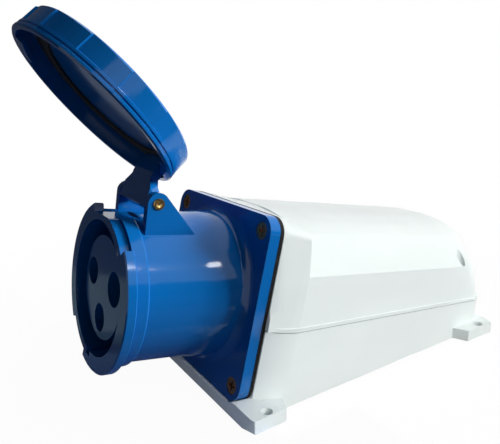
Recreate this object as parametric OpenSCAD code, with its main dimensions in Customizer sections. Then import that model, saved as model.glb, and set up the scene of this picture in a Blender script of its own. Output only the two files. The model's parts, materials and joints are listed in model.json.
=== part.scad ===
// Wall-mounted industrial socket with a hinged bayonet lid, shown with the lid open.
// Frame: +Z up, the socket faces -Y, X across, mounting face on z = 0,
// origin at the centre of the four foot holes. All sizes in mm.

/* [Mounting] */
// Foot hole spacing across
foot_pitch_x = 130.5; // [128:0.5:136]
// Foot hole spacing along the housing
foot_pitch_y = 180; // [176:1:190]
// Foot hole diameter
foot_hole_d = 6.5; // [5:0.1:7.5]
// Foot thickness
foot_t = 7.5; // [6:0.5:9]

/* [Housing] */
// Wall thickness of base and cover
wall_t = 3; // [2.6:0.1:3.4]
// Floor thickness of the base
floor_t = 3.5; // [3:0.1:5]
// Height of the joint plane above the origin
joint_z0 = 34.5; // [32:0.5:37]
// Slope of the joint plane towards the rear, degrees
joint_tilt = 7.2; // [6:0.1:8]
// Thickness of the seal in the joint
seal_t = 0.6; // [0.4:0.1:1]
// Cover screw shank diameter
cover_screw_d = 4; // [3.5:0.1:4.5]

/* [Socket plate] */
// Width and height of the plate
plate_w = 102.5; // [101:0.5:104]
// Plate thickness
plate_t = 6.4; // [5.5:0.1:7.5]
// Plate corner radius
plate_r = 9.5; // [8:0.5:11]
// Backward lean of the plate, degrees
plate_tilt = 13.7; // [12.5:0.1:15]
// Flange gasket thickness
gasket_t = 2.5; // [2:0.1:3]
// Distance of the flange screws from the plate edges
flange_screw_edge = 8.25; // [7.5:0.05:9]
// Flange screw shank diameter
flange_screw_d = 5; // [4:0.1:5.5]

/* [Barrel] */
// Barrel length in front of the plate
barrel_len = 67.1; // [66:0.1:70]
// Barrel outer radius behind the bayonet collar
barrel_r = 40; // [39.8:0.1:40.4]
// Upward lean of the barrel axis, degrees
barrel_tilt = 9.8; // [9:0.1:10.5]
// Radius of the bore that takes the plug shroud
shroud_r = 35.7; // [35:0.1:36]
// Depth of the bore that takes the plug shroud
shroud_depth = 47; // [42:0.5:50]
// Axial thickness of the bayonet lugs
lug_t = 5.2; // [4.8:0.1:5.4]
// Outer radius of the bayonet lugs
lug_r = 44.75; // [44.5:0.05:45]

/* [Contacts] */
// Contact carrier radius
carrier_r = 27.5; // [27:0.1:28]
// Set-back of the carrier behind the collar face
carrier_setback = 3.7; // [3:0.1:6]
// Pitch circle radius of the contacts
contact_pcr = 17; // [16.8:0.1:17.2]
// Live pin diameter
live_pin_d = 8; // [7:0.1:8.4]
// Earth pin diameter
earth_pin_d = 10; // [9:0.1:10.4]

/* [Lid] */
// Lid angle from closed in the modelled pose, degrees
lid_open = 130; // [110:1:140]
// Hinge pin diameter
pin_d = 5.2; // [4.6:0.1:5.4]
// Lid plate thickness
lid_t = 2.3; // [2:0.1:2.6]
// Turn of the bayonet ring in the modelled pose, degrees
ring_turn = 0; // [0:1:40]

/* [Fits] */
// Gap between parts that move past each other
run_clear = 0.35; // [0.3:0.05:0.4]
// Radial gap of the hinge pin
pin_clear = 0.06; // [0.02:0.01:0.1]
// Gap of parts that are fitted together
fit_clear = 0.1; // [0.05:0.05:0.2]
// Gap of the contact carrier in its bore
carrier_clear = 0.3; // [0.2:0.05:0.4]

/* [Hidden] */
$fn = 72;
eps = 0.05;
over = 1;
big = 300;

white = [0.90, 0.92, 0.91];
blue = [0.08, 0.36, 0.68];
black = [0.06, 0.06, 0.07];
brass = [0.72, 0.55, 0.25];
zinc = [0.66, 0.56, 0.34];
steel = [0.62, 0.63, 0.65];
grey = [0.30, 0.31, 0.33];

// Housing plan
wall_off = 5.65;
wall_half_w = foot_pitch_x / 2 - wall_off;
housing_rear = foot_pitch_y / 2 + 13;
housing_nose = 25;
housing_front = -foot_pitch_y / 2 - housing_nose;
rear_r = 12;
neck_half_w = plate_w / 2 + 0.6;
flare_len = 20;
flare_steps = [0 : 0.1 : 1];
flare_over = 0.2;
base_h = 60;
joint_fore = 5;

// Plate and barrel frames
plate_lift = 5.6;
plate_y = -foot_pitch_y / 2 + 2.4;
plate_z = plate_w / 2 * cos(plate_tilt) + plate_lift;
axis_rise = 2.1;
barrel_y = plate_y + axis_rise * sin(plate_tilt);
barrel_z = plate_z + axis_rise * cos(plate_tilt);
seat_n = plate_t + gasket_t;
front_wall = 10;
opening_deep = 26;
flange_screw_off = plate_w / 2 - flange_screw_edge;
plate_top_z = plate_lift + plate_w * cos(plate_tilt);

// Back of the collar: a leaning section that meets the side wall and the shoulder
collar_lean = 6.4;
collar_len = 22.4;
collar_back_y = plate_y + collar_len;
collar_half_w = wall_half_w - 2.4;
collar_drop = 9.5;
collar_top_z = plate_top_z - collar_drop;
collar_crown = 5;
collar_r = 6;

// Height of the joint plane at a given y, and y where the joint plane meets a plate-parallel plane
function joint_z(y) = joint_z0 - y * tan(joint_tilt);
function joint_y(d) = (d + plate_y * cos(plate_tilt) + (joint_z0 - plate_z) * sin(plate_tilt))
    / (cos(plate_tilt) + tan(joint_tilt) * sin(plate_tilt));

// Side flare: an arc from the neck to just past the side wall, with its half width
// and its points on the joint plane from 0 to 1 along it
flare_out = wall_half_w + flare_over - neck_half_w;
flare_arc_r = (pow(flare_len, 2) + pow(flare_out, 2)) / (2 * flare_out);
flare_arc_x = wall_half_w + flare_over - flare_arc_r;
function flare_x(t) = min(wall_half_w, flare_arc_x
    + sqrt(pow(flare_arc_r, 2) - pow((1 - t) * flare_len, 2)));
function flare_pt(t, inset) = [flare_x(t) - inset, joint_y(seat_n + t * flare_len) / cos(joint_tilt)];

// Lip under the plate, and feet: tip and root ends counted from the hole, outwards then inwards
lip_gap = 0.4;
lip_proud = 1.3;
foot_reach = 3.75;
foot_x = foot_pitch_x / 2 + foot_reach;
foot_y = foot_pitch_y / 2;
foot_root_in = 9;
foot_rear_ends = [10.5, 12.8, 15.2, 19.6];
foot_front_ends = [9.8, 12.8, 10.1, 14];

// Cover screws and wells
well_r = 3.5;
boss_r = 6.2;
well_seat_h = 10;
screw_rear = [wall_half_w - 4.5, foot_pitch_y / 2 - 12];
cover_screw_len = 28;
cover_head_r = 3.2;
cover_head_h = 2.8;
rim_h = 2.2;
rim_proud = 0.5;
seal_inset = 0.3;

// Cross recesses of the screws: slot width, length and depth
cover_cross = [1, 4.4, 1.4];
flange_cross = [1.2, 5.6, 1.6];
term_cross = [0.9, 4.2, 1];
clamp_cross = [0.8, 3.6, 1];

// Cover sections from joint to crown: half width, z at y = 0, slope, rear y, rear corner radius
sec_fore = 34;
sec_front = sec_fore - foot_pitch_y / 2;
low_fore = 30.4;
low_front = plate_y + low_fore;
low_r = 16;
top_r = 14;
crown_r = 9;
crown_h = 10.2;
crown_power = 3;
crown_flat = 0.6;
top_half_w = plate_w / 2 - 3.65;
top_drop = 23.7;
top_z0 = plate_top_z - top_drop;
top_slope = 10.6;
top_rear = housing_rear - 8.3;
low_half_w = wall_half_w - 1;
low_rise = 28;
low_z0 = joint_z0 + low_rise;
low_slope = 9;
low_rear = housing_rear - 4.3;
crown_steps = [0, 4, 8, 12.5, 17, 22, 27, 33];
inner_drop = 2.2;

// Flange screws
flange_head_r = 4.7;
flange_head_h = 2.6;
flange_screw_len = 20;
flange_sink = 0.3;

// Barrel profile
taper_s = 24;
taper_r = barrel_r + 0.4;
flare_s = 12;
flare_r = barrel_r + 2;
flare_end_r = barrel_r + 8.1;
flare_bite = 0.8;
barrel_sunk = 2;
flare_arc = flare_end_r - flare_r + flare_bite;
ring2_r = barrel_r + 1.7;
ring2_s = barrel_len - 13.1;
ring2_edge = 0.8;
lug_s = barrel_len - lug_t;
lug_chamfer = 0.6;
notch_a = [-18, 50.5];
notch_b = [195.7, 230.5];
key_angle = 185;
key_w = 5;
key_r = 39.2;
key_len = 27;
relief_wall = 3.2;
relief_v = shroud_r + relief_wall;
relief_half_w = 12.55;
relief_back = 4;

// Carrier, clamp ring and their seat
neck_r = 36;
opening_r = neck_r + 5;
seat_s = -14;
flange_t = 3;
flange_r = carrier_r + 2.3;
clamp_t = 3;
clamp_in_r = carrier_r - 1.5;
clamp_screw_pcr = 33.1;
clamp_angles = [60, 180, 300];
clamp_screw_d = 3.4;
clamp_screw_len = 12;
clamp_head_r = 2.8;
clamp_head_h = 2.2;
gap_floor_s = barrel_len - shroud_depth;
carrier_s = barrel_len - carrier_setback;

// Contacts: angle clockwise from the top seen from the front
earth_angle = 77;
live_angle = 182;
neutral_angle = 285;
live_hole_r = 7.5;
earth_hole_r = 8.9;
live_sleeve_r = 6.05;
earth_sleeve_r = 7.1;
pin_fit = 0.05;
sleeve_tip_s = carrier_s - 13;
hole_floor_s = 24;
sleeve_bore = 32;
slot_w = 1;
slot_len = 18;
spring_t = 0.8;
spring_h = 3;
spring_back = 5;
term_len = 20;
live_term_r = 7;
earth_term_r = 7.8;
wire_r = 3.5;
wire_depth = 16;
term_screw_back = 11;
term_screw_d = 4.8;
term_tip = 2;
term_head_r = 3.3;
term_head_h = 2.2;

// Cable grommet in the rear wall of the cover
rear_foot = [housing_rear, joint_z(housing_rear)];
crown_in = crown_steps[len(crown_steps) - 1];
rear_head = [top_rear, top_z0 + crown_rise(crown_in) - top_rear * tan(crown_slope(crown_in))];
rear_lean = atan2(rear_foot[0] - rear_head[0], rear_head[1] - rear_foot[1]);
grommet_up = 14.1;
grommet_y = rear_foot[0] - grommet_up * sin(rear_lean);
grommet_z = rear_foot[1] + grommet_up * cos(rear_lean);
grommet_r = 9.8;
grommet_flange_r = 11.3;
grommet_flange_t = 2;
grommet_well_r = 7.5;
grommet_skin = 1.4;
grommet_give = 0.6;
grommet_edge = 0.8;
grommet_taper = 2;

// Hinge
hinge_s = 46.5;
hinge_v = lug_r + 4.15;
ear_out = 22.3;
ear_t = 4.5;
ear_r = 5.7;
ear_lean = 46.8;
ear_root_v = barrel_r - 7.6;
rivet_flange_r = pin_d / 2 + 0.45;
rivet_flange_t = 0.6;
rivet_edge = 0.3;
rivet_bore_r = pin_d / 2 - 0.85;

// Lid, closed coordinates along the barrel axis
mouth_s = barrel_len - 8.1;
lid_gasket_t = 1.2;
lid_back_s = barrel_len + run_clear + lid_gasket_t;
lid_face_s = lid_back_s + lid_t;
skirt_in_r = lug_r + 1.85;
lid_r = skirt_in_r - run_clear - fit_clear;
annulus_s = lid_face_s + run_clear;
annulus_t = 2.1;
hub_r = shroud_r - 2.2;
hub_end_s = annulus_s + annulus_t + run_clear;
keeper_r = hub_r + 4.5;
keeper_t = 1.8;
keeper_edge = 0.6;
lid_gasket_w = 7.4;
lid_gasket_r = [lug_r - 1.35 - lid_gasket_w, lug_r - 1.35];
lid_gasket_gap = 0.5;
lip_r = skirt_in_r + 2.7;
lip_edge = 0.7;
lip_bead_h = 2.2;
lip_bead_edge = 0.5;
lip_groove_h = 0.6;
lip_groove_r = lip_r - 0.7;
lip_bead2_r = lip_r - 0.2;
lip_bead2_h = 1.4;
lip_bead2_edge = 0.3;
lip_run = 0.6;
skirt_hi_r = lip_r - 0.4;
skirt_lo_r = lip_r - 1.3;
skirt_end_s = annulus_s + annulus_t;
skirt_edge = 1.2;
grip_count = 14;
grip_pts = 6;
grip_step = 0.1;
claw_angle = 33;
claw_span = 26;
claw_in_r = lug_r - 1.75;
claw_s = mouth_s + 0.2;
claw_t = lug_s - claw_s - run_clear;
boss_lid_r = 5;
boss_half_w = ear_out - ear_t - run_clear;
arm_half_w = relief_half_w - run_clear;
arm_under = relief_v + run_clear - hinge_v;
arm_top = -4.7;
arm_heel = [-3.7, -5];
arm_knee_s = 10;
arm_shoulder = [-1.5, 6.6];
arm_crest = [4, 3];
arm_waist_s = [3, 7.5];

// Frames: local z points out of the plate or along the barrel, local y up
module in_plate() {
    translate([0, plate_y, plate_z]) rotate([90 - plate_tilt, 0, 0]) children();
}

module in_barrel() {
    translate([0, barrel_y, barrel_z]) rotate([90 - barrel_tilt, 0, 0]) children();
}

module on_joint(lift) {
    translate([0, 0, joint_z0]) rotate([-joint_tilt, 0, 0]) translate([0, 0, lift]) children();
}

module opened() {
    in_barrel() translate([0, hinge_v, hinge_s]) rotate([-lid_open, 0, 0])
        translate([0, -hinge_v, -hinge_s]) children();
}

// Extrudes a (v, s) outline along X
module along_x(half) {
    translate([-half, 0, 0]) rotate([90, 0, 90]) linear_extrude(2 * half) children();
}

// Extrudes an (x, s) outline along v
module along_v() {
    rotate([90, 0, 0]) linear_extrude(big, center = true) children();
}

module half_space(from_z) {
    translate([-big, -big, from_z]) cube([2 * big, 2 * big, big]);
}

module round_rect(w, h, r) {
    square([w - 2 * r, h], center = true);
    square([w, h - 2 * r], center = true);
    for (sx = [-1, 1], sy = [-1, 1]) translate([sx * (w / 2 - r), sy * (h / 2 - r)]) circle(r);
}

// Pie slice between two angles counted clockwise from the top
module sector(a) {
    reach = 2 * lip_r;
    polygon([[0, 0], reach * [sin(a[0]), cos(a[0])], reach * [sin(a[1]), cos(a[1])]]);
}

module cross_recess(cross) {
    for (a = [0, 90]) rotate([0, 0, a]) translate([-cross[1] / 2, -cross[0] / 2, -cross[2]])
        cube([cross[1], cross[0], cross[2] + eps]);
}

// Housing outline below the joint, before the front is cut
module housing_plan(inset) {
    hw = wall_half_w - inset;
    rear = housing_rear - inset;
    r = rear_r - inset;
    translate([-hw, housing_front]) square([2 * hw, rear - r - housing_front]);
    translate([r - hw, housing_front]) square([2 * hw - 2 * r, rear - housing_front]);
    for (sx = [-1, 1]) translate([sx * (hw - r), rear - r]) circle(r);
}

// Removes everything outside the flare that leads from the neck to the side walls
module outside_flare(inset) {
    back = -seat_n - flare_len;
    in_plate() for (sx = [0, 1]) mirror([sx, 0, 0]) along_v() difference() {
        translate([flare_arc_x, back]) square([big, big]);
        translate([flare_arc_x, back]) circle(flare_arc_r - inset);
    }
}

module front_opening() {
    in_plate() translate([0, axis_rise, -seat_n - opening_deep])
        cylinder(r = opening_r, h = opening_deep + seat_n);
}

module cover_screw_spots() {
    for (sx = [-1, 1])
        translate([sx * screw_rear[0], screw_rear[1], joint_z(screw_rear[1])]) children();
}

module flange_screw_spots() {
    for (sx = [-1, 1], sy = [-1, 1])
        in_plate() translate([sx * flange_screw_off, sy * flange_screw_off, 0]) children();
}

module foot_outline(ends) {
    x0 = wall_half_w - foot_root_in;
    polygon([[foot_x, foot_y + ends[0]], [foot_x, foot_y - ends[2]], [wall_half_w, foot_y - ends[3]],
        [x0, foot_y - ends[3]], [x0, foot_y + ends[1]], [wall_half_w, foot_y + ends[1]]]);
}

module base_shell() {
    difference() {
        linear_extrude(base_h) housing_plan(0);
        difference() {
            translate([0, 0, floor_t]) linear_extrude(base_h) housing_plan(wall_t);
            outside_flare(wall_t);
            in_plate() half_space(-seat_n - front_wall);
            cover_screw_spots() cylinder(r = boss_r, h = big, center = true);
        }
        outside_flare(0);
        in_plate() half_space(-seat_n);
        front_opening();
    }
}

// Space in front of the housing that belongs to the plate
module plate_space() {
    in_plate() half_space(lip_proud);
    in_plate() translate([0, 0, -seat_n]) linear_extrude(big)
        round_rect(plate_w + 2 * lip_gap, plate_w + 2 * lip_gap, plate_r);
}

module base_lip() {
    difference() {
        translate([-wall_half_w, housing_front, 0])
            cube([2 * wall_half_w, plate_y - housing_front, foot_t]);
        plate_space();
    }
}

module base_feet() {
    difference() {
        linear_extrude(foot_t) for (sx = [0, 1]) mirror([sx, 0]) {
            foot_outline(foot_rear_ends);
            mirror([0, 1]) foot_outline(foot_front_ends);
        }
        plate_space();
        translate([0, 0, floor_t]) linear_extrude(base_h) housing_plan(wall_t);
    }
}

module base_housing() {
    color(white) difference() {
        union() {
            base_shell();
            base_lip();
            base_feet();
        }
        on_joint(-seal_t) half_space(0);
        for (sx = [-1, 1], sy = [-1, 1])
            translate([sx * foot_pitch_x / 2, sy * foot_pitch_y / 2, -eps])
                cylinder(d = foot_hole_d, h = foot_t + 2 * eps);
        cover_screw_spots() translate([0, 0, well_seat_h - cover_screw_len - over])
            cylinder(d = cover_screw_d + 2 * fit_clear, h = big);
        flange_screw_spots() flange_screw_hole();
    }
}

// Rise and slope of the domed top at a distance in from its edge
function crown_rise(c) = crown_h * (1 - pow((top_half_w - c) / top_half_w, crown_power));
function crown_slope(c) = top_slope - crown_flat * crown_rise(c) / crown_h;

// One level of the cover; the outline lies on a plane that slopes down to the rear
module cover_level(half_w, z0, slope, front, rear, r) {
    translate([0, 0, z0]) rotate([-slope, 0, 0]) linear_extrude(eps) {
        translate([-half_w, front / cos(slope)]) square([2 * half_w, eps]);
        for (sx = [-1, 1]) translate([sx * (half_w - r), rear / cos(slope) - r]) circle(r);
    }
}

module cover_form(inset, drop) {
    hull() {
        on_joint(-drop) linear_extrude(eps) joint_outline(inset);
        cover_level(low_half_w - inset, low_z0 - drop / 2, low_slope, low_front, low_rear - inset,
            low_r - inset);
        for (c = crown_steps)
            cover_level(top_half_w - inset - c, top_z0 - drop + crown_rise(c), crown_slope(c),
                sec_front, top_rear - inset, (c > 0 ? crown_r : top_r) - inset);
    }
}

// Collar behind the plate: from the plate outline and the flares back to a wider leaning section
module collar_form(inset) {
    half_w = collar_half_w - inset;
    r = collar_r - inset;
    up = (collar_top_z - inset) / cos(collar_lean);
    shoulder = (low_z0 - low_front * tan(low_slope)) / cos(collar_lean);
    hull() {
        in_plate() translate([0, 0, flare_over - seat_n]) linear_extrude(eps)
            round_rect(plate_w - 2 * inset, plate_w - 2 * inset, plate_r - inset);
        on_joint(0) linear_extrude(eps) joint_front(inset, eps);
        translate([0, collar_back_y, 0]) rotate([90 - collar_lean, 0, 0]) linear_extrude(eps) {
            for (sx = [-1, 1]) translate([sx * (half_w - r), up - r]) circle(r);
            polygon([[inset - wall_half_w, joint_z0], [wall_half_w - inset, joint_z0],
                [low_half_w - inset, shoulder], [0, up + collar_crown],
                [inset - low_half_w, shoulder]]);
        }
    }
}

// Front of the joint outline: the neck and both flares, in the joint frame
module joint_front(inset, fore) {
    edge = [for (t = flare_steps) flare_pt(t, inset)];
    neck = [edge[0][0], edge[0][1] - fore];
    back = [0, flare_pt(1, inset)[1]];
    for (sx = [0, 1]) mirror([sx, 0]) polygon(concat([[0, neck[1]], neck], edge, [back]));
}

// Housing outline where the joint plane cuts it, in the joint frame
module joint_outline(inset) {
    hw = wall_half_w - inset;
    rear = housing_rear / cos(joint_tilt) - inset;
    r = rear_r - inset;
    mid = flare_pt(1, inset)[1] - eps;
    joint_front(inset, joint_fore);
    translate([-hw, mid]) square([2 * hw, rear - r - mid]);
    translate([r - hw, mid]) square([2 * hw - 2 * r, rear - mid]);
    for (sx = [-1, 1]) translate([sx * (hw - r), rear - r]) circle(r);
}

module cover_housing() {
    color(white) difference() {
        union() {
            cover_form(0, 0);
            collar_form(0);
            on_joint(0) linear_extrude(rim_h) joint_outline(-rim_proud);
        }
        difference() {
            union() {
                cover_form(wall_t, inner_drop);
                collar_form(wall_t);
            }
            in_plate() half_space(-seat_n - front_wall);
            cover_screw_spots() translate([0, 0, -boss_r]) cylinder(r = boss_r, h = big);
        }
        front_opening();
        on_joint(-big) half_space(0);
        in_plate() half_space(-seat_n);
        cover_screw_spots() translate([0, 0, well_seat_h]) cylinder(r = well_r, h = big);
        cover_screw_hole();
        flange_screw_spots() flange_screw_hole();
        rear_wall_frame() cylinder(r = grommet_r + fit_clear, h = 6 * wall_t, center = true);
    }
}

module cover_seal() {
    color(grey) difference() {
        on_joint(-seal_t) linear_extrude(seal_t) difference() {
            joint_outline(seal_inset);
            joint_outline(wall_t);
        }
        front_opening();
        in_plate() half_space(-seat_n);
        cover_screw_hole();
    }
}

module cover_screw_hole() {
    cover_screw_spots() cylinder(d = cover_screw_d + 4 * fit_clear, h = big, center = true);
}

module cover_screws() {
    color(zinc) cover_screw_spots() translate([0, 0, fit_clear]) difference() {
        union() {
            translate([0, 0, well_seat_h]) cylinder(r = cover_head_r, h = cover_head_h);
            translate([0, 0, well_seat_h - cover_screw_len])
                cylinder(d = cover_screw_d, h = cover_screw_len + eps);
        }
        translate([0, 0, well_seat_h + cover_head_h]) cross_recess(cover_cross);
    }
}

module flange_gasket() {
    color(black) difference() {
        in_plate() translate([0, 0, -seat_n]) linear_extrude(gasket_t)
            round_rect(plate_w, plate_w, plate_r);
        in_plate() translate([0, axis_rise, -seat_n - over]) cylinder(r = opening_r, h = seat_n);
        flange_screw_spots() flange_screw_hole();
    }
}

module barrel_solid() {
    rotate_extrude() polygon([[0, seat_s - flange_t], [neck_r, seat_s - flange_t],
        [neck_r, -barrel_sunk], [flare_r, -barrel_sunk], [flare_r, flare_s], [taper_r, taper_s],
        [barrel_r, ring2_s], [barrel_r, barrel_len], [0, barrel_len]]);
}

// Concave foot of the barrel, square to the plate
module barrel_flare() {
    rotate_extrude() difference() {
        translate([0, -over]) square([flare_end_r, flare_arc + over]);
        translate([flare_end_r, flare_arc]) circle(flare_arc);
    }
}

module bayonet_collar() {
    difference() {
        rotate_extrude() polygon([[0, ring2_s], [barrel_r, ring2_s], [ring2_r, ring2_s + ring2_edge],
            [ring2_r, lug_s], [lug_r - lug_chamfer, lug_s], [lug_r, lug_s + lug_chamfer],
            [lug_r, barrel_len - lug_chamfer], [lug_r - lug_chamfer, barrel_len], [0, barrel_len]]);
        translate([0, 0, lug_s - eps]) linear_extrude(lug_t + over) {
            sector(notch_a);
            sector(notch_b);
        }
    }
}

module hinge_ear() {
    tip = [hinge_v + ear_r * cos(ear_lean), hinge_s - ear_r * sin(ear_lean)];
    along_x(ear_t / 2) union() {
        translate([hinge_v, hinge_s]) circle(ear_r);
        polygon([[ear_root_v, hinge_s + ear_r], [hinge_v, hinge_s + ear_r], tip,
            [ear_root_v, tip[1] - (tip[0] - ear_root_v) / tan(ear_lean)]]);
    }
}

module socket_body() {
    color(blue) difference() {
        union() {
            in_plate() translate([0, 0, -plate_t]) linear_extrude(plate_t)
                round_rect(plate_w, plate_w, plate_r);
            in_plate() translate([0, axis_rise, 0]) barrel_flare();
            in_barrel() barrel_solid();
            in_barrel() bayonet_collar();
            in_barrel() for (sx = [-1, 1])
                translate([sx * (ear_out - ear_t / 2), 0, 0]) hinge_ear();
        }
        in_barrel() socket_cuts();
        flange_screw_spots() flange_screw_form(fit_clear);
    }
}

module socket_cuts() {
    back = seat_s - flange_t - over;
    translate([0, 0, gap_floor_s]) cylinder(r = shroud_r, h = shroud_depth + over);
    translate([0, 0, back]) cylinder(r = carrier_r + carrier_clear, h = big);
    translate([0, 0, back]) cylinder(r = flange_r + carrier_clear, h = flange_t + over);
    rotate([0, 0, -key_angle]) translate([-key_w / 2, 0, barrel_len - key_len])
        cube([key_w, key_r, key_len + over]);
    translate([-relief_half_w, relief_v, ring2_s - relief_back])
        cube([2 * relief_half_w, lug_r, barrel_len]);
    translate([0, hinge_v, hinge_s]) rotate([0, 90, 0])
        cylinder(r = pin_d / 2 + fit_clear / 2, h = 3 * ear_out, center = true);
    for (a = clamp_angles) rotate([0, 0, a]) translate([0, clamp_screw_pcr, back])
        cylinder(d = clamp_screw_d + 2 * fit_clear, h = clamp_screw_len);
}

// Countersunk screw, grown by a gap when used as its own hole
module flange_screw_form(gap) {
    translate([0, 0, -flange_screw_len])
        cylinder(r = flange_screw_d / 2 + gap, h = flange_screw_len - flange_sink);
    translate([0, 0, -flange_sink - flange_head_h])
        cylinder(r1 = flange_screw_d / 2 + gap, r2 = flange_head_r + gap, h = flange_head_h);
    if (gap > 0) translate([0, 0, -flange_sink]) cylinder(r = flange_head_r + gap, h = over);
}

module flange_screw_hole() {
    translate([0, 0, -flange_screw_len - over])
        cylinder(d = flange_screw_d + 2 * fit_clear, h = flange_screw_len + 2 * over);
}

module flange_screws() {
    color(zinc) flange_screw_spots() difference() {
        flange_screw_form(0);
        translate([0, 0, -flange_sink]) cross_recess(flange_cross);
    }
}

module at_contact(angle) {
    in_barrel() rotate([0, 0, -angle]) translate([0, contact_pcr, 0]) children();
}

module contact_carrier() {
    color(blue) difference() {
        in_barrel() union() {
            translate([0, 0, seat_s]) cylinder(r = carrier_r, h = carrier_s - seat_s);
            translate([0, 0, seat_s - flange_t]) cylinder(r = flange_r, h = flange_t);
        }
        for (a = [live_angle, neutral_angle])
            at_contact(a) carrier_hole(live_hole_r, live_sleeve_r);
        at_contact(earth_angle) carrier_hole(earth_hole_r, earth_sleeve_r);
    }
}

module carrier_hole(hole_r, sleeve_r) {
    translate([0, 0, hole_floor_s]) cylinder(r = hole_r, h = big);
    translate([0, 0, seat_s - flange_t - over]) cylinder(r = sleeve_r + fit_clear, h = big);
}

// Split sleeve with a screw terminal behind the carrier
module contact(pin, sleeve_r, term_r) {
    back = seat_s - flange_t;
    difference() {
        union() {
            translate([0, 0, back - eps]) cylinder(r = sleeve_r, h = sleeve_tip_s - back + eps);
            translate([0, 0, back - term_len]) cylinder(r = term_r, h = term_len);
        }
        translate([0, 0, sleeve_tip_s - sleeve_bore])
            cylinder(r = pin / 2 + pin_fit, h = sleeve_bore + over);
        for (a = [0, 90]) rotate([0, 0, a]) translate([-slot_w / 2, -term_r, sleeve_tip_s - slot_len])
            cube([slot_w, 2 * term_r, slot_len + over]);
        translate([0, 0, back - term_len - over]) cylinder(r = wire_r, h = wire_depth + over);
        translate([0, 0, back - term_screw_back]) rotate([-90, 0, 0])
            cylinder(d = term_screw_d + 2 * fit_clear, h = 2 * term_r);
    }
}

module live_contact() {
    color(brass) at_contact(live_angle) contact(live_pin_d, live_sleeve_r, live_term_r);
}

module neutral_contact() {
    color(brass) at_contact(neutral_angle) contact(live_pin_d, live_sleeve_r, live_term_r);
}

module earth_contact() {
    color(brass) at_contact(earth_angle) contact(earth_pin_d, earth_sleeve_r, earth_term_r);
}

module ring_spring(sleeve_r) {
    translate([0, 0, sleeve_tip_s - spring_back]) difference() {
        cylinder(r = sleeve_r + fit_clear / 2 + spring_t, h = spring_h);
        translate([0, 0, -over]) cylinder(r = sleeve_r + fit_clear / 2, h = spring_h + 2 * over);
    }
}

module sleeve_springs() {
    color(steel) {
        at_contact(live_angle) ring_spring(live_sleeve_r);
        at_contact(neutral_angle) ring_spring(live_sleeve_r);
        at_contact(earth_angle) ring_spring(earth_sleeve_r);
    }
}

module terminal_screw(term_r) {
    translate([0, 0, seat_s - flange_t - term_screw_back]) rotate([-90, 0, 0]) difference() {
        union() {
            translate([0, 0, term_tip]) cylinder(d = term_screw_d, h = term_r + over - term_tip);
            translate([0, 0, term_r + fit_clear]) cylinder(r = term_head_r, h = term_head_h);
        }
        translate([0, 0, term_r + fit_clear + term_head_h]) cross_recess(term_cross);
    }
}

module terminal_screws() {
    color(steel) {
        at_contact(live_angle) terminal_screw(live_term_r);
        at_contact(neutral_angle) terminal_screw(live_term_r);
        at_contact(earth_angle) terminal_screw(earth_term_r);
    }
}

module clamp_screw_spots() {
    in_barrel() for (a = clamp_angles) rotate([0, 0, a])
        translate([0, clamp_screw_pcr, seat_s - flange_t - clamp_t]) children();
}

module carrier_clamp() {
    color(grey) difference() {
        in_barrel() translate([0, 0, seat_s - flange_t - clamp_t])
            cylinder(r = neck_r, h = clamp_t);
        in_barrel() translate([0, 0, -big / 2]) cylinder(r = clamp_in_r, h = big);
        clamp_screw_spots() translate([0, 0, -over])
            cylinder(d = clamp_screw_d + 2 * fit_clear, h = clamp_t + 2 * over);
    }
}

module clamp_screws() {
    color(steel) clamp_screw_spots() difference() {
        union() {
            translate([0, 0, -clamp_head_h]) cylinder(r = clamp_head_r, h = clamp_head_h);
            cylinder(d = clamp_screw_d, h = clamp_screw_len);
        }
        translate([0, 0, -clamp_head_h]) mirror([0, 0, 1]) cross_recess(clamp_cross);
    }
}

// Frame on the outer face of the cover's rear wall, local z pointing outwards
module rear_wall_frame() {
    translate([0, grommet_y, grommet_z]) rotate([rear_lean - 90, 0, 0]) children();
}

module cable_grommet() {
    groove = wall_t + grommet_give;
    mouth_r = grommet_well_r - grommet_taper;
    edge_r = grommet_flange_r - grommet_edge;
    color(black) rear_wall_frame() rotate_extrude() polygon([[0, -groove], [0, -groove + grommet_skin],
        [mouth_r, -groove + grommet_skin], [grommet_well_r, grommet_flange_t],
        [edge_r, grommet_flange_t], [grommet_flange_r, grommet_flange_t - grommet_edge],
        [grommet_flange_r, fit_clear], [grommet_r, fit_clear], [grommet_r, -groove],
        [grommet_flange_r, -groove - fit_clear], [grommet_r, -groove - grommet_flange_t],
        [grommet_well_r, -groove - grommet_flange_t], [mouth_r, -groove]]);
}

module hinge_pin() {
    len = 2 * ear_out + 2 * fit_clear;
    color(brass) in_barrel() translate([0, hinge_v, hinge_s]) rotate([0, 90, 0]) difference() {
        union() {
            cylinder(d = pin_d, h = len, center = true);
            for (sx = [0, 1]) mirror([0, 0, sx]) translate([0, 0, len / 2])
                cylinder(r1 = rivet_flange_r, r2 = rivet_flange_r - rivet_edge, h = rivet_flange_t);
        }
        cylinder(r = rivet_bore_r, h = 2 * len, center = true);
    }
}

// Arm outline in (v, s), measured from the pin
module arm_side() {
    reach = lid_back_s - hinge_s + lid_t / 2;
    polygon([arm_heel, [arm_under, arm_knee_s], [arm_under, reach], [arm_top, reach],
        [arm_top, arm_knee_s], arm_shoulder, arm_crest]);
}

module lid_arm() {
    translate([0, hinge_v, hinge_s]) intersection() {
        along_x(boss_half_w) union() {
            circle(boss_lid_r);
            arm_side();
        }
        along_v() polygon([[-boss_half_w, -lug_r], [boss_half_w, -lug_r], [boss_half_w, arm_waist_s[0]],
            [arm_half_w, arm_waist_s[1]], [arm_half_w, lug_r], [-arm_half_w, lug_r],
            [-arm_half_w, arm_waist_s[1]], [-boss_half_w, arm_waist_s[0]]]);
    }
}

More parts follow.
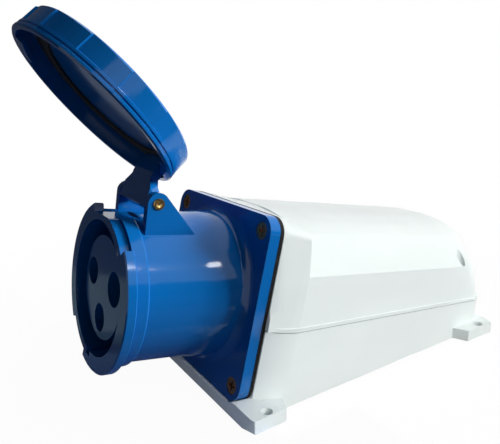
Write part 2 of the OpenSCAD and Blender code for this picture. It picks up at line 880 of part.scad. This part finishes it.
module lid_plate() {
    color(blue) opened() difference() {
        union() {
            translate([0, 0, lid_back_s]) cylinder(r = lid_r, h = lid_t);
            translate([0, 0, lid_back_s]) cylinder(r = hub_r, h = hub_end_s - lid_back_s);
            lid_arm();
        }
        translate([0, hinge_v, hinge_s]) rotate([0, 90, 0])
            cylinder(r = pin_d / 2 + pin_clear, h = 4 * ear_out, center = true);
    }
}

module lid_gasket() {
    color(black) opened() translate([0, 0, lid_back_s - lid_gasket_t]) difference() {
        cylinder(r = lid_gasket_r[1], h = lid_gasket_t);
        translate([0, 0, -over]) cylinder(r = lid_gasket_r[0], h = lid_gasket_t + 2 * over);
        translate([-arm_half_w - lid_gasket_gap, hinge_v + arm_under - lid_gasket_gap, -over])
            cube([2 * (arm_half_w + lid_gasket_gap), lug_r, lid_gasket_t + 2 * over]);
    }
}

module ring_keeper() {
    end_s = hub_end_s + keeper_t;
    color(blue) opened() rotate_extrude() polygon([[0, hub_end_s], [keeper_r, hub_end_s],
        [keeper_r, end_s - keeper_edge], [keeper_r - keeper_edge, end_s], [0, end_s]]);
}

// Stepped grip outline: each panel falls from the high to the low radius
function grip_r(i) = skirt_hi_r - (skirt_hi_r - skirt_lo_r) * i / (grip_pts - 1);
function grip_angle(k, i) = (k + i / (grip_pts - 1 + grip_step)) * 360 / grip_count;

module grip_outline() {
    polygon([for (k = [0 : grip_count - 1], i = [0 : grip_pts - 1])
        grip_r(i) * [sin(grip_angle(k, i)), cos(grip_angle(k, i))]]);
}

// Mouth of the ring: two beads with a groove between them
module ring_lip() {
    bead_s = mouth_s + lip_bead_h;
    bead2_s = bead_s + lip_groove_h;
    end_s = bead2_s + lip_bead2_h;
    rotate_extrude() polygon([[0, mouth_s], [lip_r - lip_edge, mouth_s], [lip_r, mouth_s + lip_edge],
        [lip_r, bead_s - lip_bead_edge], [lip_groove_r, bead_s], [lip_groove_r, bead2_s],
        [lip_bead2_r, bead2_s + lip_bead2_edge], [lip_bead2_r, end_s],
        [skirt_lo_r, end_s + lip_run], [0, end_s + lip_run]]);
}

module ring_skirt() {
    intersection() {
        rotate_extrude() polygon([[0, mouth_s + over], [skirt_hi_r + over, mouth_s + over],
            [skirt_hi_r + over, skirt_end_s - skirt_edge - over],
            [skirt_hi_r - skirt_edge, skirt_end_s], [0, skirt_end_s]]);
        translate([0, 0, mouth_s]) linear_extrude(barrel_len) grip_outline();
    }
}

module ring_claws() {
    translate([0, 0, claw_s]) linear_extrude(claw_t) difference() {
        for (a = [claw_angle, claw_angle + 180]) sector([a - claw_span / 2, a + claw_span / 2]);
        circle(claw_in_r);
    }
}

module bayonet_ring() {
    color(blue) opened() rotate([0, 0, -ring_turn]) difference() {
        union() {
            ring_skirt();
            ring_lip();
        }
        difference() {
            translate([0, 0, mouth_s - over])
                cylinder(r = skirt_in_r, h = annulus_s - mouth_s + over);
            ring_claws();
        }
        translate([0, 0, annulus_s - over])
            cylinder(r = hub_r + run_clear + fit_clear, h = annulus_t + 2 * over);
    }
}

base_housing();
cover_housing();
cover_seal();
cover_screws();
flange_gasket();
socket_body();
flange_screws();
contact_carrier();
live_contact();
neutral_contact();
earth_contact();
sleeve_springs();
terminal_screws();
carrier_clamp();
clamp_screws();
cable_grommet();
hinge_pin();
lid_plate();
lid_gasket();
ring_keeper();
bayonet_ring();
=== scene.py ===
import json
import math

import bpy
from mathutils import Matrix, Vector


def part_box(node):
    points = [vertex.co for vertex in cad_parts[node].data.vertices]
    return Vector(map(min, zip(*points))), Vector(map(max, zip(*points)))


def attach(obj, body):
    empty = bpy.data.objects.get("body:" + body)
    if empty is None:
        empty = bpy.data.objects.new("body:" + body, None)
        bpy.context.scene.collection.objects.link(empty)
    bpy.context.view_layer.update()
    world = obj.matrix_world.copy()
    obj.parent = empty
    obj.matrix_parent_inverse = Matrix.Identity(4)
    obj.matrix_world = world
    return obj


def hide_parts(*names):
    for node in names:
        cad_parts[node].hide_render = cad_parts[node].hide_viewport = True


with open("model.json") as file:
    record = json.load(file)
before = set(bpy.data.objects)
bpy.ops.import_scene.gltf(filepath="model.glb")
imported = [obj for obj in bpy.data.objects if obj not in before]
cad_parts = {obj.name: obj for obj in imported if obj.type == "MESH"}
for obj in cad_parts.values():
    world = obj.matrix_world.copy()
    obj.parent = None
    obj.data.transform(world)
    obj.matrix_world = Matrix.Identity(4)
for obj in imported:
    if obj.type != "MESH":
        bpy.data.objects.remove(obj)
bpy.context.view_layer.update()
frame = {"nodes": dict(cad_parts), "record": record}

MM = 0.001

# Photograph: width in pixels, fitted focal length, camera place in metres, angles in degrees
PHOTO_W = 500
FOCAL_PX = 519.81
CAMERA_AT = (0.25706, -0.22459, 0.17005)
CAMERA_AZIMUTH, CAMERA_RISE, CAMERA_ROLL = 56.79, 14.72, -0.60
SENSOR_MM = 36.0

# Linear colours of the finishes
WHITE = (0.815, 0.875, 0.860)
BLUE = (0.003, 0.130, 0.430)
BLACK = (0.013, 0.013, 0.014)
SEAL = (0.060, 0.062, 0.066)
ZINC = (0.300, 0.170, 0.080)
BRASS = (0.640, 0.430, 0.170)
STEEL = (0.560, 0.570, 0.590)
GREY = (0.110, 0.115, 0.125)

# Patterns in the finishes, in cells per metre
FLOW_CELLS, PATCH_CELLS, SCUFF_CELLS = 14, 55, 420
SWELL_CELLS, GRAIN_CELLS = 38, 1900
CHALK_CELLS, PORE_CELLS = 160, 1500
STAIN_CELLS, BRUSH_CELLS = 350, 2600

# Depth of the bump in the finishes
SWELL_DEPTH, GRAIN_DEPTH = 0.12 * MM, 0.05 * MM
PORE_DEPTH, BRUSH_DEPTH = 0.08 * MM, 0.03 * MM


class Wire:
    """An output socket of a node; arithmetic on it adds Math nodes."""

    def __init__(self, sheet, socket):
        self.sheet, self.socket = sheet, socket

    def _math(self, operation, first, second):
        return self.sheet.node("ShaderNodeMath", {"operation": operation}, {0: first, 1: second})

    def __add__(self, other):
        return self._math("ADD", self, other)

    def __radd__(self, other):
        return self._math("ADD", other, self)

    def __mul__(self, other):
        return self._math("MULTIPLY", self, other)

    def __rmul__(self, other):
        return self._math("MULTIPLY", other, self)

    def or_else(self, other):
        return self._math("MAXIMUM", self, other)


class Sheet:
    """The nodes of a material or of the world."""

    def __init__(self, tree):
        self.tree = tree

    def node(self, kind, settings=None, inputs=None, out=0):
        """Adds a node, sets it up, feeds its sockets and returns one of its outputs."""
        made = self.tree.nodes.new(kind)
        for key, value in (settings or {}).items():
            setattr(made, key, value)
        for key, value in (inputs or {}).items():
            self.feed(made.inputs[key], value)
        return Wire(self, made.outputs[out])

    def feed(self, socket, value):
        if isinstance(value, Wire):
            self.tree.links.new(value.socket, socket)
        else:
            socket.default_value = value

    def ramp(self, value, low, high):
        """0 below low, 1 above high."""
        return self.node("ShaderNodeMapRange", {"clamp": True},
                         {"Value": value, "From Min": low, "From Max": high})

    def mix(self, share, first, second):
        """Colour between first and second."""
        pair = {0: share}
        for key, colour in ((6, first), (7, second)):
            pair[key] = colour if isinstance(colour, Wire) else (*colour, 1)
        return self.node("ShaderNodeMix", {"data_type": "RGBA"}, pair, 2)

    def looked_at(self):
        """1 for rays that show the backdrop: from the camera, mirrored or through glass."""
        seen = self.node("ShaderNodeLightPath", out="Is Camera Ray")
        rays = seen.socket.node.outputs
        for name in ("Is Glossy Ray", "Is Transmission Ray"):
            seen = seen.or_else(Wire(self, rays[name]))
        return seen


class Finish(Sheet):
    """A node-based material with one shader, read in object coordinates."""

    def __init__(self, name, **constants):
        self.material = bpy.data.materials.new(name)
        self.material.use_nodes = True
        super().__init__(self.material.node_tree)
        self.shader = self.tree.nodes["Principled BSDF"]
        for socket, value in constants.items():
            self.shader.inputs[socket.replace("_", " ")].default_value = value
        self.place = self.node("ShaderNodeTexCoord", out="Object")

    def into(self, name, value):
        self.feed(self.shader.inputs[name], value)

    def noise(self, cells, detail, stretch=(1, 1, 1)):
        """Noise between 0 and 1."""
        place = self.node("ShaderNodeMapping", None, {"Vector": self.place, "Scale": stretch}, "Vector")
        return self.node("ShaderNodeTexNoise", {"noise_dimensions": "3D"},
                         {"Vector": place, "Scale": cells, "Detail": detail, "Roughness": 0.55})

    def bump(self, height, strength, depth, under=None):
        inputs = {"Height": height, "Strength": strength, "Distance": depth}
        if under:
            inputs["Normal"] = under
        return self.node("ShaderNodeBump", None, inputs, "Normal")


def tint(colour, factor):
    return tuple(c * factor for c in colour)


def moulded(name, colour, rough, grain, dust, **constants):
    """Injection-moulded plastic: slight flow marks, fine grain, dull and shiny patches."""
    finish = Finish(name, **constants)
    flow = finish.noise(FLOW_CELLS, 2, (1, 1, 2.2))
    patches = finish.noise(PATCH_CELLS, 4)
    scuffs = finish.ramp(finish.noise(SCUFF_CELLS, 3, (1, 6, 1.5)), 0.62, 0.78)
    base = finish.mix(flow, tint(colour, 0.93), tint(colour, 1.05))
    base = finish.mix(scuffs * dust, base, tint(colour, 1.35))
    finish.into("Base Color", base)
    finish.into("Roughness", rough - 0.05 + 0.10 * patches + 0.12 * scuffs)
    swell = finish.bump(finish.noise(SWELL_CELLS, 2), 0.35, SWELL_DEPTH)
    finish.into("Normal", finish.bump(finish.noise(GRAIN_CELLS, 2), grain, GRAIN_DEPTH, swell))
    return finish.material


def rubber(name, colour):
    """Matt rubber with chalky patches and fine pores."""
    finish = Finish(name, Specular_IOR_Level=0.2)
    chalk = finish.ramp(finish.noise(CHALK_CELLS, 4), 0.45, 0.75)
    finish.into("Base Color", finish.mix(chalk, colour, tint(colour, 2.2)))
    finish.into("Roughness", 0.62 + 0.2 * chalk)
    finish.into("Normal", finish.bump(finish.noise(PORE_CELLS, 2), 0.5, PORE_DEPTH))
    return finish.material


def metal(name, colour, rough, stain):
    """Plain or plated metal with brush marks and dull stains."""
    finish = Finish(name, Metallic=1.0)
    cloud = finish.ramp(finish.noise(STAIN_CELLS, 4), 0.4, 0.75)
    brushed = finish.noise(BRUSH_CELLS, 2, (1, 1, 0.08))
    finish.into("Base Color", finish.mix(cloud * stain, colour, tint(colour, 0.45)))
    finish.into("Roughness", rough + 0.2 * cloud + 0.08 * brushed)
    finish.into("Normal", finish.bump(brushed, 0.2, BRUSH_DEPTH))
    return finish.material


FINISHES = {
    "housing_white": moulded("white_moulded", WHITE, 0.32, 0.10, 0.0, Specular_IOR_Level=0.3),
    "plastic_blue": moulded("blue_moulded", BLUE, 0.12, 0.03, 0.06, Specular_IOR_Level=0.36),
    "gasket_black": rubber("black_rubber", BLACK),
    "seal_grey": rubber("grey_rubber", SEAL),
    "screw_zinc": metal("yellow_zinc", ZINC, 0.30, 0.6),
    "contact_brass": metal("plain_brass", BRASS, 0.24, 0.5),
    "spring_steel": metal("bright_steel", STEEL, 0.26, 0.3),
    "clamp_grey": moulded("grey_moulded", GREY, 0.50, 0.15, 0.1),
}

BODIES = frame["record"]["behaviour"]["bodies"]
BODY_OF = {node: body for body, nodes in BODIES.items() for node in nodes}
SLOT_OF = {part["node"]: part["material_slot"] for part in frame["record"]["subparts"]}

for name, node in frame["nodes"].items():
    node.data.materials.clear()
    node.data.materials.append(FINISHES[SLOT_OF[name]])

# Leans of the plate, of the joint between base and cover, and of the barrel
PLATE_LEAN, JOINT_LEAN, BARREL_LEAN = (math.radians(lean) for lean in (13.7, 7.2, 9.8))
PLATE_OUT = Vector((0, -math.cos(PLATE_LEAN), math.sin(PLATE_LEAN)))
PLATE_UP = Vector((0, math.sin(PLATE_LEAN), math.cos(PLATE_LEAN)))
JOINT_UP = Vector((0, math.sin(JOINT_LEAN), math.cos(JOINT_LEAN)))
BARREL_OUT = Vector((0, -math.cos(BARREL_LEAN), math.sin(BARREL_LEAN)))

# Places read from the frame
GASKET_LOW, GASKET_HIGH = (Vector(corner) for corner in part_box("flange_gasket"))
SEAL_LOW, SEAL_HIGH = (Vector(corner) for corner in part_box("cover_seal"))
SCREW_LOW, SCREW_HIGH = (Vector(corner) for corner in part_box("cover_screws"))
PIN_LOW, PIN_HIGH = (Vector(corner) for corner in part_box("hinge_pin"))
PLATE_AT = (GASKET_LOW + GASKET_HIGH) / 2
PLATE_HALF = GASKET_HIGH.x
JOINT_AT = Vector((0, SEAL_HIGH.y, SEAL_LOW.z))
MOUTH = max(corner.co.dot(BARREL_OUT) for corner in frame["nodes"]["socket_body"].data.vertices)

# Zones in which edges are rounded
PLATE_CORNER, RIM_WIDTH, PLATE_DEPTH = 9.5 * MM, 0.4 * MM, 15 * MM
PLATE_FRONT, BARREL_START = 5 * MM, 9 * MM
COLLAR_LINE_FROM, COLLAR_LINE_TO = 11.9 * MM, 12.7 * MM
BEAD_FROM, BEAD_TO, OVER_BEAD = 0.3 * MM, 3.2 * MM, 3.5 * MM
WELL_AHEAD, WELL_BESIDE = 3 * MM, 10 * MM
FEET_TOP = 9 * MM

# Rounding: least turn at a ridge and smooth shading in degrees, steps across an edge
RIDGE_TURN, SMOOTH_TURN, EDGE_STEPS = 24, 38, 3

# Core of the hinge pin: bore of the pin, depth of its open ends, and the steps of a dish
# as pairs of a width and a fall in mm
PIN_BORE, PIN_END, CORE_GAP = 1.75 * MM, 0.5 * MM, 0.02 * MM
DISH_STEPS = ((0.25, 0.05), (0.5, 0.35), (0.6, 0.15))


def over_joint(place):
    """Height over the joint between base and cover."""
    return (place - JOINT_AT).dot(JOINT_UP)


def out_of_plate(place):
    """Distance in front of the middle of the flange gasket."""
    return (place - PLATE_AT).dot(PLATE_OUT)


def behind_mouth(place):
    """Distance back along the barrel from its open end."""
    return MOUTH - place.dot(BARREL_OUT)


def near_cover_screw(place):
    return place.y > SCREW_LOW.y - WELL_AHEAD and abs(place.x) > SCREW_HIGH.x - WELL_BESIDE


def on_plate_rim(place):
    """On the rounded square outline of the socket plate."""
    straight = PLATE_HALF - PLATE_CORNER
    across = max(abs(place.x) - straight, 0)
    up = max(abs((place - PLATE_AT).dot(PLATE_UP)) - straight, 0)
    at_rim = abs(math.hypot(across, up) - PLATE_CORNER) < RIM_WIDTH
    return at_rim and out_of_plate(place) > -PLATE_DEPTH


def on_plate_front(place):
    return on_plate_rim(place) and out_of_plate(place) > PLATE_FRONT


def on_collar_line(place):
    return COLLAR_LINE_FROM < behind_mouth(place) < COLLAR_LINE_TO


def on_barrel(place):
    return out_of_plate(place) > BARREL_START


def on_hood(place):
    return over_joint(place) > OVER_BEAD and not near_cover_screw(place)


def on_bead(place):
    return BEAD_FROM < over_joint(place) < BEAD_TO


def on_feet(place):
    return place.z < FEET_TOP


def anywhere(place):
    return True


# Width of the rounded edges in mm, zone by zone
EDGES = {
    "cover_housing": ((1.1, on_hood), (0.2, on_bead)),
    "base_housing": ((0.6, on_feet),),
    "socket_body": ((1.5, on_plate_front), (0.8, on_collar_line), (0.4, on_barrel)),
    "contact_carrier": ((0.4, anywhere),),
    "bayonet_ring": ((0.4, anywhere),),
    "lid_plate": ((0.5, anywhere),),
    "ring_keeper": ((0.3, anywhere),),
    "flange_gasket": ((0.4, on_plate_rim),),
    "cable_grommet": ((0.3, anywhere),),
    "hinge_pin": ((0.1, anywhere),),
    "flange_screws": ((0.1, anywhere),),
    "cover_screws": ((0.1, anywhere),),
    "live_contact": ((0.15, anywhere),),
    "neutral_contact": ((0.15, anywhere),),
    "earth_contact": ((0.15, anywhere),),
    "lid_gasket": ((0.15, anywhere),),
}


def merged_copy(name):
    """A copy of a node's mesh with its loose triangles joined into whole faces."""
    piece = bpy.data.objects.new(name + "_rounded", frame["nodes"][name].data.copy())
    bpy.context.scene.collection.objects.link(piece)
    bpy.ops.object.select_all(action="DESELECT")
    piece.select_set(True)
    bpy.context.view_layer.objects.active = piece
    bpy.ops.object.mode_set(mode="EDIT")
    bpy.ops.mesh.select_all(action="SELECT")
    bpy.ops.mesh.remove_doubles(threshold=0.002 * MM)
    bpy.ops.mesh.dissolve_limited(angle_limit=math.radians(0.4))
    bpy.ops.mesh.normals_make_consistent(inside=False)
    bpy.ops.object.mode_set(mode="OBJECT")
    if piece.data.has_custom_normals:
        bpy.ops.mesh.customdata_custom_splitnormals_clear()
    return piece


def ridges(mesh):
    """Edges that stick out and turn sharply, with their middles."""
    sides = {}
    for face in mesh.polygons:
        for key in face.edge_keys:
            sides.setdefault(key, []).append(face)
    for edge in mesh.edges:
        pair = sides.get(edge.key, ())
        if len(pair) != 2 or pair[0].normal.angle(pair[1].normal, 0) < math.radians(RIDGE_TURN):
            continue
        middle = (mesh.vertices[edge.vertices[0]].co + mesh.vertices[edge.vertices[1]].co) / 2
        if (pair[1].center - middle).dot(pair[0].normal) < 0:
            yield edge, middle


def pick_none(kind):
    """Leaves no edge or face of the active piece selected."""
    bpy.ops.object.mode_set(mode="EDIT")
    bpy.ops.mesh.select_mode(type=kind)
    bpy.ops.mesh.select_all(action="DESELECT")
    bpy.ops.object.mode_set(mode="OBJECT")


def soften(piece, width, where):
    """Rounds the ridges in one zone."""
    pick_none("EDGE")
    for edge, middle in ridges(piece.data):
        edge.select = where(middle)
    bpy.ops.object.mode_set(mode="EDIT")
    bpy.ops.mesh.bevel(offset=width, segments=EDGE_STEPS, affect="EDGES", clamp_overlap=True)
    bpy.ops.object.mode_set(mode="OBJECT")


def stand_rounded(name):
    """Stands a softened copy in a node's place."""
    piece = merged_copy(name)
    for width, where in EDGES[name]:
        soften(piece, width * MM, where)
    bpy.ops.object.shade_smooth_by_angle(angle=math.radians(SMOOTH_TURN))
    even = piece.modifiers.new("even_shading", "WEIGHTED_NORMAL")
    even.keep_sharp = True
    bpy.ops.object.modifier_apply(modifier=even.name)
    piece.data.materials.clear()
    piece.data.materials.append(FINISHES[SLOT_OF[name]])
    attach(piece, BODY_OF[name])
    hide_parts(name)


def close_hinge_pin():
    """A core in the hollow hinge pin that leaves a shallow dish at each end."""
    bpy.ops.object.select_all(action="DESELECT")
    bpy.ops.mesh.primitive_cylinder_add(
        vertices=40,
        radius=PIN_BORE - CORE_GAP,
        depth=PIN_HIGH.x - PIN_LOW.x - 2 * PIN_END,
        location=(PIN_LOW + PIN_HIGH) / 2,
        rotation=(0, math.radians(90), 0),
    )
    core = bpy.context.object
    core.name = "hinge_pin_core"
    bpy.ops.object.transform_apply(location=True, rotation=True, scale=True)
    pick_none("FACE")
    for face in core.data.polygons:
        face.select = abs(face.normal.x) > 0.9
    bpy.ops.object.mode_set(mode="EDIT")
    for step, fall in DISH_STEPS:
        bpy.ops.mesh.inset(thickness=step * MM, depth=-fall * MM)
    bpy.ops.object.mode_set(mode="OBJECT")
    bpy.ops.object.shade_smooth_by_angle(angle=math.radians(50))
    core.data.materials.append(FINISHES[SLOT_OF["hinge_pin"]])
    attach(core, BODY_OF["hinge_pin"])


for name in EDGES:
    stand_rounded(name)
close_hinge_pin()

# Studio: heights of the floor and of the cards on it, its size, and where it has faded to white
FLOOR_Z, CARD_Z, NEAR_CARD_Z = -0.4 * MM, -0.2 * MM, -0.1 * MM
FLOOR_SIZE = 8
FADE_FROM, FADE_TO = 0.12, 0.40
FLOOR_GLOW = 0.955
MIDDLE, MOUTH_SIDE, UP = (0, 0, 0.06), (0, -0.1, 0.08), (0, 0, 1)
SOFTBOX, STRIP, WINDOW, SPOT = (0.9, 0.6), (0.7, 0.5), (0.20, 0.16), (0.10, 0.10)
DUSK = (0.05, 0.05, 0.07)


def place_camera():
    azimuth, rise, roll = (math.radians(a) for a in (CAMERA_AZIMUTH, CAMERA_RISE, CAMERA_ROLL))
    level_out = math.cos(rise)
    back = Vector((math.sin(azimuth) * level_out, -math.cos(azimuth) * level_out, math.sin(rise)))
    level = (-back).cross(Vector(UP)).normalized()
    upright = level.cross(-back)
    right = level * math.cos(roll) + upright * math.sin(roll)
    up = upright * math.cos(roll) - level * math.sin(roll)
    data = bpy.data.cameras.new("photo_camera")
    data.sensor_width = SENSOR_MM
    data.lens = SENSOR_MM * FOCAL_PX / PHOTO_W
    data.clip_start, data.clip_end = 0.01, 50
    camera = bpy.data.objects.new("photo_camera", data)
    bpy.context.scene.collection.objects.link(camera)
    turn = Matrix((right, up, back)).transposed().to_4x4()
    camera.matrix_world = Matrix.Translation(CAMERA_AT) @ turn
    bpy.context.scene.camera = camera


def light_world(front, rear):
    """Soft light that comes mainly from behind the object, seen as plain white."""
    world = bpy.data.worlds.new("studio")
    bpy.context.scene.world = world
    world.use_nodes = True
    sheet = Sheet(world.node_tree)
    way = sheet.node("ShaderNodeTexCoord", out="Generated")
    to_rear = sheet.node("ShaderNodeSeparateXYZ", None, {0: way}, "Y")
    reach = {"Value": to_rear, "From Min": -0.15, "From Max": 0.75, "To Min": front, "To Max": rear}
    light = sheet.node("ShaderNodeMapRange", {"interpolation_type": "SMOOTHSTEP"}, reach)
    shown = sheet.mix(sheet.looked_at(), light, (1, 1, 1))
    sheet.feed(sheet.tree.nodes["Background"].inputs["Color"], shown)


def lay_floor():
    """A pale floor that keeps a faint shadow and fades to plain white away from the object."""
    bpy.ops.object.select_all(action="DESELECT")
    bpy.ops.mesh.primitive_plane_add(size=FLOOR_SIZE, location=(0, 0, FLOOR_Z))
    floor = bpy.context.object
    floor.name = "studio_floor"
    finish = Finish("pale_floor", Roughness=0.9, Specular_IOR_Level=0.1)
    seen = finish.looked_at()
    far = finish.node("ShaderNodeVectorMath", {"operation": "LENGTH"}, {0: finish.place}, "Value")
    finish.into("Base Color", finish.mix(seen, (0.12, 0.12, 0.12), (0.9, 0.9, 0.9)))
    lift = FLOOR_GLOW + (1 - FLOOR_GLOW) * finish.ramp(far, FADE_FROM, FADE_TO)
    lit = Wire(finish, finish.shader.outputs[0])
    glow = finish.node("ShaderNodeEmission", out="Emission")
    shown = finish.node("ShaderNodeMixShader", None, {0: seen * lift, 1: lit, 2: glow}, "Shader")
    finish.feed(finish.tree.nodes["Material Output"].inputs["Surface"], shown)
    floor.data.materials.append(finish.material)
    return floor


def add_lamp(name, at, aim, size, watts, mirrored=False, pieces=()):
    """A soft lamp; with pieces it lights only those."""
    data = bpy.data.lights.new(name, "AREA")
    data.shape, data.size, data.size_y = "RECTANGLE", size[0], size[1]
    data.energy = watts
    lamp = bpy.data.objects.new(name, data)
    bpy.context.scene.collection.objects.link(lamp)
    lamp.visible_glossy = mirrored
    lamp.location = at
    lamp.rotation_euler = (Vector(aim) - Vector(at)).to_track_quat("-Z", "Y").to_euler()
    if pieces:
        lamp.light_linking.receiver_collection = bpy.data.collections.new(name + "_lit")
        for piece in pieces:
            lamp.light_linking.receiver_collection.objects.link(piece)


def add_card(name, at, facing, size, tone):
    """A plain card out of the picture, to be mirrored in the blue pieces."""
    bpy.ops.object.select_all(action="DESELECT")
    bpy.ops.mesh.primitive_plane_add(size=1, location=at)
    card = bpy.context.object
    card.name = name
    card.scale = (size[0], size[1], 1)
    card.rotation_euler = Vector(facing).to_track_quat("Z", "Y").to_euler()
    card.visible_camera = False
    card.visible_shadow = False
    card.data.materials.append(Finish(name, Base_Color=(*tone, 1), Roughness=1.0).material)


place_camera()
light_world(front=0.09, rear=0.40)
floor = lay_floor()

# The white housing and the deep-coloured pieces have a main lamp each
meshes = [piece for piece in bpy.data.objects if piece.type == "MESH" and piece != floor]
pale = [piece for piece in meshes if piece.name.startswith(("cover_", "base_"))]
deep = [piece for piece in meshes if piece not in pale]
add_lamp("pale_lamp", (1.32, -0.10, 0.55), MIDDLE, SOFTBOX, 12.8, pieces=pale + [floor])
add_lamp("deep_lamp", (0.66, 1.15, 0.42), MIDDLE, STRIP, 33.0, pieces=deep)
add_lamp("left_lamp", (-1.30, 0.35, 0.30), MIDDLE, SOFTBOX, 7.0, pieces=pale + deep)
add_lamp("rear_lamp", (0.13, 0.91, 0.97), MIDDLE, SOFTBOX, 3.5)
add_lamp("window_lamp", (0.90, 0.33, 0.80), MOUTH_SIDE, WINDOW, 2.2, mirrored=True)
add_lamp("edge_lamp", (0.14, 0.26, 1.10), (0, -0.1, 0.06), SPOT, 0.5, mirrored=True)

add_card("standing_card", (-0.52, -0.38, 0.45), (0.81, 0.59, 0), (1.3, 0.9), (0.16, 0.16, 0.19))
add_card("ceiling_card", (0.15, -0.60, 0.95), (0, 0, -1), (1.6, 0.8), (0.10, 0.10, 0.12))
add_card("right_card", (0.95, 0.30, 0.17), (-1, 0, 0), (1.40, 0.34), DUSK)
add_card("lying_card", (-0.62, -0.58, CARD_Z), UP, (0.64, 0.66), (0.15, 0.17, 0.25))
add_card("lid_card", (-0.62, -0.14, CARD_Z), UP, (0.64, 0.22), (0.70, 0.80, 1.00))
add_card("low_card", (-0.20, -0.36, CARD_Z), UP, (0.20, 0.40), (0.72, 0.95, 1.00))
add_card("front_card", (0.41, -0.36, CARD_Z), UP, (1.06, 0.5), (0.15, 0.15, 0.18))
add_card("side_card", (0.56, 0.13, CARD_Z), UP, (0.82, 0.48), DUSK)
add_card("under_card", (0.0, -0.16, NEAR_CARD_Z), UP, (0.16, 0.14), (0.50, 0.65, 1.00))
add_card("near_card", (0.14, -0.09, NEAR_CARD_Z), UP, (0.12, 0.10), (0.25, 0.26, 0.30))
bpy.context.scene.view_settings.view_transform = "Standard"
